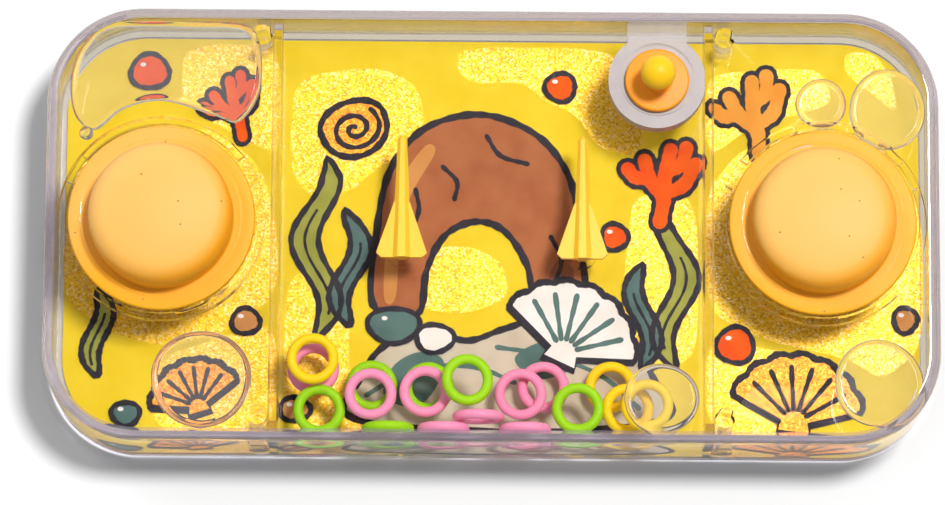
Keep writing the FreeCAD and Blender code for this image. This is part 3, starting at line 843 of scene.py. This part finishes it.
def smoothLoop(points):
    # a closed curve through given points, of cubic spans
    return spans(*(np.roll(np.asarray(points, float), shift, 0) for shift in (1, 0, -1, -2)))


def smoothPath(points):
    # an open curve through given points, of cubic spans, with each end carried on straight by one point
    points = np.asarray(points, float)
    ends = np.concatenate([2 * points[:1] - points[1:2], points, 2 * points[-1:] - points[-2:-1]])
    return np.concatenate([spans(ends[:-3], ends[1:-2], ends[2:-1], ends[3:]), points[-1:]])


def placed(points, spec):
    # points made larger, turned about the origin and moved, as a motif's settings say
    angle = math.radians(spec.get("turn", 0.0))
    x, y = (np.asarray(points, float) * spec.get("size", 1.0)).T
    return np.column_stack([x * math.cos(angle) - y * math.sin(angle) + spec["place"][0],
                            x * math.sin(angle) + y * math.cos(angle) + spec["place"][1]])


def lay(ink, outline, layer):
    # puts points at their layer's height into an ink's mesh and gives the number of the first
    points = prints[ink][0]
    points.extend(np.column_stack([outline, np.full(len(outline), heightOf(layer))]).tolist())
    return len(points) - len(outline)


def fill(ink, outline, layer):
    # one flat face inside an outline, turned up by the sign of its area
    first = lay(ink, outline, layer)
    x, y = outline.T
    area = np.sum(x * np.roll(y, -1) - np.roll(x, -1) * y)
    loop = list(range(first, first + len(outline)))
    prints[ink][1].append(loop if area > 0 else loop[::-1])


def stroke(ink, path, width, layer, closed=False, wobble=pen["wobble"]):
    # a band along a path, whose half width swells and shrinks by two sines, with round ends unless it is closed
    along = np.roll(path, -1, 0) - np.roll(path, 1, 0)
    if not closed:
        along[0], along[-1] = path[1] - path[0], path[-1] - path[-2]
    along /= np.linalg.norm(along, axis=1)[:, None] + 1e-12
    across = np.column_stack([-along[:, 1], along[:, 0]])
    number = np.arange(len(path))
    waves = np.sin(number * pen["fast"] + len(prints[ink][0])) + np.sin(number * pen["slow"] + pen["late"])
    half = width / 2 * (1 + wobble * waves)[:, None]
    band = np.stack([path + across * half, path - across * half], 1).reshape(-1, 2)
    first = lay(ink, band, layer)
    prints[ink][1].extend(face[::-1] for face in gridFaces(len(path), 2, loopRows=closed, first=first))
    if not closed:
        for end in (0, -1):
            fill(ink, oval(path[end], (width / 2, width / 2), pen["endSteps"]), layer)


def drawn(ink, outline, layer, line):
    # a filled shape with its dark outline of this width
    fill(ink, outline, layer)
    stroke("line", outline, line, layer + 1, closed=True)


foilPatches = {
    "rounding": 3, "cut": 0.18, "layers": (0.2, 0.7),
    "outlines": [  # corners in mm
        [(-53, 32), (-53, 24), (-48, 20), (-40, 16), (-36.2, 14), (-36.2, 33), (-48, 33.6)],
        [(-34, 28), (-20, 30), (-13, 27), (-11.5, 21), (-13, 14.5), (-20, 12), (-24, 8), (-31, 7), (-34.5, 12)],
        [(-6, 33.5), (-6, 29), (-3, 27), (5, 27.5), (9, 24), (14, 22), (18, 16), (24, 14.5), (26, 18), (24, 27),
         (20, 33.5)],
        [(36.2, 29), (36.2, 14), (44, 20), (52, 22), (58, 24), (56, 30), (48, 30)],
        [(60, 33), (60, 29.5), (63, 27), (69, 22), (68, 29), (65, 33)],
        [(-71.5, 12), (-73, -10), (-66, -16), (-56, -19), (-46, -17), (-36.2, -10), (-36.2, 0), (-39, 12), (-47, 19),
         (-60, 18)],
        [(-35, -6), (-35, -33.6), (-20, -33.6), (-20, -29), (-24, -24), (-24, -12), (-27, -7)],
        [(-50, -19), (-36.2, -14), (-36.2, -33.6), (-56, -33.6), (-58, -26), (-54, -20)],
        [(24, 8), (35, 8), (35, -19), (31, -22), (25, -20), (22, -13), (23, 0)],
        [(-2, -22), (10, -23), (20, -27), (22, -33.6), (-6, -33.6), (-8, -28)],
        [(36.2, -17), (50, -19), (54, -23), (54, -33.6), (36.2, -33.6)],
        [(36.2, 8), (42, 16), (56, 19), (69, 14), (73, 4), (73, -18), (66, -24), (60, -20), (46, -17), (36.2, -12)],
        [(-13, -2), (-4, -1), (2, -4), (3, -10), (-4, -13), (-13, -12)],
    ],
}


def makeFoil():
    # patches of glitter, whose corners are cut off again and again, each side keeping its middle part
    near, far = 1 - foilPatches["cut"], foilPatches["cut"]
    for number, points in enumerate(foilPatches["outlines"]):
        points = np.array(points, float)
        for step in range(foilPatches["rounding"]):
            after = np.roll(points, -1, 0)
            points = np.stack([near * points + far * after, far * points + near * after], 1).reshape(-1, 2)
        fill("glitter", points, foilPatches["layers"][number % 2])


reefMound = {
    "outline": [(-23, -31), (-22, -24), (-18, -18.5), (-11, -16), (-4, -17.5), (2, -15.5), (9, -13.6), (17, -14.5),
                (23, -18), (27.5, -24), (29, -31), (2, -33)],
    "patches": [[(-18, -27), (-16.5, -22), (-12, -19.5), (-8, -21), (-9.5, -26), (-13, -29)],
                [(4, -20.5), (9, -17.5), (15, -18.4), (14, -22), (8, -24)]],
    "lines": [[(-21, -27), (-13, -22.4), (-3, -22), (4, -24.6)], [(1, -18.6), (10, -20), (19, -23.6), (25, -29)]],
    "layer": 1, "line": 1.1, "markLayer": 3, "markLine": 0.8,
}


def makeReefMound():
    # a low mound with patches and lines on it
    drawn("cream", smoothLoop(reefMound["outline"]), reefMound["layer"], reefMound["line"])
    for patch in reefMound["patches"]:
        fill("sage", smoothLoop(patch), reefMound["markLayer"])
    for line in reefMound["lines"]:
        stroke("sage", smoothPath(line), reefMound["markLine"], reefMound["markLayer"])


rockArch = {
    "place": (-3.0, 3.5), "layer": 4, "line": 1.2, "shadeLayer": 4.5, "crackLayer": 5, "crackLine": 0.8,
    "outline": [(-17, -15), (-16.5, -2), (-14.5, 8), (-9.5, 15), (-2, 18), (5, 17.4), (12, 13.4), (16.6, 6), (18, -4),
                (18.5, -15), (11, -16.5), (9, -8), (5, -2), (0, -0.5), (-5, -3), (-8, -9), (-9.5, -16.5)],
    "cracks": [[(-12, -4), (-9.5, 1), (-10, 5)], [(2, 14.4), (4.4, 11), (9, 9.6)], [(13, -3), (14.8, -7), (13.8, -11)],
               [(-5.4, 9), (-3, 6.4), (-3.4, 3.4)]],
    "shades": {
        "tan": [(-15.2, -13.5), (-14.6, -2), (-12.6, 6.4), (-8.4, 12.6), (-6.8, 11.4), (-10.8, 4), (-12.6, -4),
                (-13.2, -13.6)],
        "umber": [(12.6, -14.6), (13, -9), (16.2, -6), (16.8, -14.4)]},
}


def makeRockArch():
    # an arch with a light edge, a dark foot and cracks
    drawn("brown", placed(smoothLoop(rockArch["outline"]), rockArch), rockArch["layer"], rockArch["line"])
    for ink, outline in rockArch["shades"].items():
        fill(ink, placed(smoothLoop(outline), rockArch), rockArch["shadeLayer"])
    for crack in rockArch["cracks"]:
        stroke("line", placed(smoothPath(crack), rockArch), rockArch["crackLine"], rockArch["crackLayer"])


scallop = {
    "reach": 12.0, "spread": 74.0, "folds": 7, "swell": 0.05, "steps": 90,  # mm and degrees
    "hinge": [(2.6, -0.52), (3.0, -0.68), (-3.0, -0.68), (-2.6, -0.52)],  # mm, and shares of the reach
    "ribEnds": (0.2, 0.84), "ribSteps": 12, "ribLine": 0.85, "line": 1.1, "layer": 8,
}
scallops = [
    {"place": (14.6, -14.0), "turn": -24.0, "size": 1.0, "ink": "white", "rib": "sage"},
    {"place": (-50.5, -25.5), "turn": 18.0, "size": 0.66, "ink": "gold", "rib": "line"},
    {"place": (52.0, -25.5), "turn": -8.0, "size": 0.95, "ink": "gold", "rib": "line"},
]


def makeScallop(spec):
    # a fan whose edge swells between its ribs by a sine, with a hinge below and ribs that spread from it
    reach, folds, spread = scallop["reach"], scallop["folds"], math.radians(scallop["spread"])
    angle = np.linspace(-spread, spread, scallop["steps"])
    edge = reach * (1 + scallop["swell"] * np.abs(np.sin((angle + spread) / (2 * spread) * math.pi * folds)))
    fan = np.column_stack([edge * np.sin(angle), edge * np.cos(angle) - reach / 2])
    outline = placed(np.concatenate([fan, np.array(scallop["hinge"]) * [1, reach]]), spec)
    drawn(spec["ink"], outline, scallop["layer"], scallop["line"])
    for rib in np.linspace(-spread, spread, folds + 1)[1:-1]:
        ends = np.outer(scallop["ribEnds"], [math.sin(rib), math.cos(rib)]) * reach - [0, reach / 2]
        path = placed(np.linspace(*ends, scallop["ribSteps"]), spec)
        stroke(spec["rib"], path, scallop["ribLine"] * spec["size"] ** 0.5, scallop["layer"] + 1)


weed = {
    "steps": 48, "thin": 0.45, "swell": 0.85, "power": 0.8, "swellRise": 0.92, "swellFrom": 0.06,
    "tip": 9, "root": 8, "rootFrom": 0.15, "vein": (6, 34), "layer": 6, "line": 1.0, "veinLine": 0.5,
}
weeds = [
    {"place": (-29.5, -17.0), "height": 31.0, "sway": 2.2, "width": 3.6, "turns": 1.4, "ink": "olive"},
    {"place": (-24.0, -15.0), "height": 20.0, "sway": -1.8, "width": 3.0, "turns": 1.1, "ink": "sage"},
    {"place": (31.0, -22.0), "height": 27.0, "sway": -2.0, "width": 3.4, "turns": 1.3, "ink": "olive"},
    {"place": (25.6, -22.0), "height": 18.0, "sway": 1.6, "width": 2.8, "turns": 1.0, "ink": "sage"},
    {"place": (-66.5, -24.0), "height": 15.0, "sway": -1.2, "width": 2.6, "turns": 1.0, "ink": "olive"},
]


def makeWeed(spec):
    # a blade whose middle sways as a sine, which swells by a sine's power and narrows as a root at its foot and tip
    share = np.linspace(0, 1, weed["steps"])
    middle = spec["sway"] * np.sin(share * 2 * math.pi * spec["turns"])
    belly = np.sin(math.pi * np.clip(share * weed["swellRise"] + weed["swellFrom"], 0, 1)) ** weed["power"]
    tip = np.clip((1 - share) * weed["tip"], 0, 1) ** 0.5
    root = np.clip(share * weed["root"] + weed["rootFrom"], 0, 1) ** 0.5
    half = spec["width"] / 2 * (weed["thin"] + weed["swell"] * belly) * tip * root
    height = share * spec["height"]
    left, right = np.column_stack([middle - half, height]), np.column_stack([middle + half, height])[::-1]
    drawn(spec["ink"], placed(np.concatenate([left[:-1], right]), spec), weed["layer"], weed["line"])
    vein = np.column_stack([middle, height])[slice(*weed["vein"])]
    stroke("line", placed(vein, spec), weed["veinLine"], weed["layer"] + 1)


coral = {
    "branches": [
        [(0, -7), (0, -2), (-0.6, 3), (-0.4, 8)], [(0, -2), (-3.2, 1), (-5.2, 5)], [(0, -1), (3.4, 1.4), (5.0, 6)],
        [(-0.4, 3.4), (2.2, 5.4), (2.6, 9)], [(-3.4, 1.4), (-6.4, 1.2), (-8.2, 2.6)]],
    "width": 3.4, "dark": (1.1, 8, 0.04), "colour": (-0.5, 9, 0.05),  # mm wider, layer and wobble of each band
}
corals = [
    {"place": (29.5, 9.0), "size": 0.85, "turn": -10.0, "ink": "orange"},
    {"place": (-43.5, 22.0), "size": 0.66, "turn": 12.0, "ink": "orange"},
    {"place": (45.0, 21.0), "size": 0.85, "turn": 4.0, "ink": "amber"},
]


def makeCoral(spec):
    # thick rounded branches: dark bands first, the colour a little narrower over them
    for ink, (wider, layer, wobble) in (("line", coral["dark"]), (spec["ink"], coral["colour"])):
        for branch in coral["branches"]:
            width = coral["width"] * spec["size"] + wider
            stroke(ink, placed(smoothPath(branch), spec), width, layer, wobble=wobble)


whelk = {
    "place": (-23.5, 19.0), "size": 0.8, "turn": 20.0, "turns": 2.1, "reach": 7.0, "squash": 0.86, "bulge": 1.2,
    "steps": 60, "spiral": (0.08, 0.82, 70), "layer": 8, "line": 1.1, "spiralLine": 0.9,
}


def makeWhelk():
    # a flattened round shell that bulges above, with a spiral whose reach grows evenly with its angle
    unit = oval((0, 0), (1, 1), whelk["steps"])
    body = unit * [whelk["reach"], whelk["reach"] * whelk["squash"]]
    body[:, 0] += whelk["bulge"] * np.maximum(unit[:, 1], 0) * unit[:, 0]
    drawn("gold", placed(body, whelk), whelk["layer"], whelk["line"])
    start, size, steps = whelk["spiral"]
    share = np.linspace(start, 1, steps)
    angle = share * 2 * math.pi * whelk["turns"]
    reach = whelk["reach"] * size * share
    spiral = np.column_stack([reach * np.cos(angle), reach * whelk["squash"] * np.sin(angle)])
    stroke("line", placed(spiral, whelk), whelk["spiralLine"], whelk["layer"] + 2)


pebbles = {
    "steps": 36, "ripple": 0.05, "layer": 11, "line": 0.9, "glint": (0.5, 0.36), "glintAt": (-0.35, 0.4),
    "each": [  # middle, half sizes and ink
        (-16.5, -15.0, 4.4, 3.0, "sage"), (-9.5, -17.2, 3.2, 2.4, "white"), (-33.0, -29.5, 2.6, 2.0, "tan"),
        (-58.5, 28.6, 3.3, 3.0, "orange"), (41.2, -18.0, 3.2, 3.1, "orange"),
        (11.5, 26.5, 2.6, 2.5, "orange"), (-61.5, -30.5, 2.4, 2.0, "sage"), (70.0, -13.5, 2.0, 2.2, "tan"),
        (20.8, 0.5, 2.3, 2.3, "orange"), (-41.5, -14.5, 2.4, 2.2, "tan")],
}


def makePebbles():
    # uneven ovals, each with a white glint at its upper left
    for number, (x, y, halfX, halfY, ink) in enumerate(pebbles["each"]):
        outline = oval((x, y), (halfX, halfY), pebbles["steps"], pebbles["ripple"], number)
        drawn(ink, outline, pebbles["layer"], pebbles["line"])
        glint = (x + halfX * pebbles["glintAt"][0], y + halfY * pebbles["glintAt"][1])
        fill("white", oval(glint, pebbles["glint"], pebbles["steps"]), pebbles["layer"] + 1)


def makePrint():
    # all motifs, then one flat piece for each ink that was used
    makeFoil()
    makeReefMound()
    makeRockArch()
    for make, specs in ((makeWeed, weeds), (makeScallop, scallops), (makeCoral, corals)):
        for spec in specs:
            make(spec)
    makeWhelk()
    makePebbles()
    for ink, (points, faces) in prints.items():
        if faces:
            mesh = bpy.data.meshes.new("print" + ink.capitalize())
            mesh.from_pydata((np.array(points) * mm).tolist(), [], faces)
            addPiece(mesh.name, mesh, "case", inks[ink])


makePrint()
print("stage: print")


# air left above the water: flat pockets with round rims, pressed against the window

bubble = {
    "top": 16.1, "rim": 1.2,  # mm
    "steps": 72, "rimSteps": 9, "ripple": 0.012, "sharp": 50.0,
    "rounds": [  # middle x and y and the two half sizes, mm
        (-48.3, -26.4, 8.4, 8.2), (28.4, -29.2, 6.3, 6.0), (64.6, -26.3, 7.4, 7.4),
        (66.3, 20.4, 6.4, 7.0), (55.2, 21.4, 4.3, 4.3), (-68.3, 15.4, 1.2, 1.2),
    ],
    "pocket": [  # the large pocket above the left button, mm
        (-71.0, 26.0), (-69.0, 31.0), (-64.0, 34.6), (-50.0, 34.8), (-42.0, 34.4), (-39.4, 31.0), (-39.2, 23.0),
        (-42.6, 17.6), (-47.0, 18.6), (-55.4, 21.0), (-62.0, 19.6), (-66.6, 16.0), (-69.6, 17.4), (-71.0, 21.0),
    ],
}


def makeBubble(name, outline):
    # the outline swept by a half circle at its rim, closed flat above and below
    count, steps, rim = len(outline), bubble["rimSteps"], bubble["rim"]
    along = np.roll(outline, -1, 0) - np.roll(outline, 1, 0)
    along /= np.linalg.norm(along, axis=1)[:, None]
    outward = np.column_stack([along[:, 1], -along[:, 0]])
    angle = np.radians(np.linspace(-90, 90, steps))[:, None, None]
    flat = outline[None] + outward[None] * rim * (np.cos(angle) - 1)
    height = np.broadcast_to(bubble["top"] - rim + rim * np.sin(angle), (steps, count, 1))
    faces = gridFaces(steps, count, loopColumns=True)
    faces += [list(range(count))[::-1], list(range((steps - 1) * count, steps * count))]
    mesh = cleanMesh(name, np.concatenate([flat, height], -1).reshape(-1, 3) * mm, faces, bubble["sharp"])
    keepFlats(addPiece(name, mesh, "case", clear["bubbleSkin"]))


for number, (x, y, halfX, halfY) in enumerate(bubble["rounds"]):
    makeBubble("airBubble" + str(number + 1), oval((x, y), (halfX, halfY), bubble["steps"], bubble["ripple"], number))
makeBubble("airPocket", smoothLoop(bubble["pocket"])[::-1])
print("stage: bubbles")
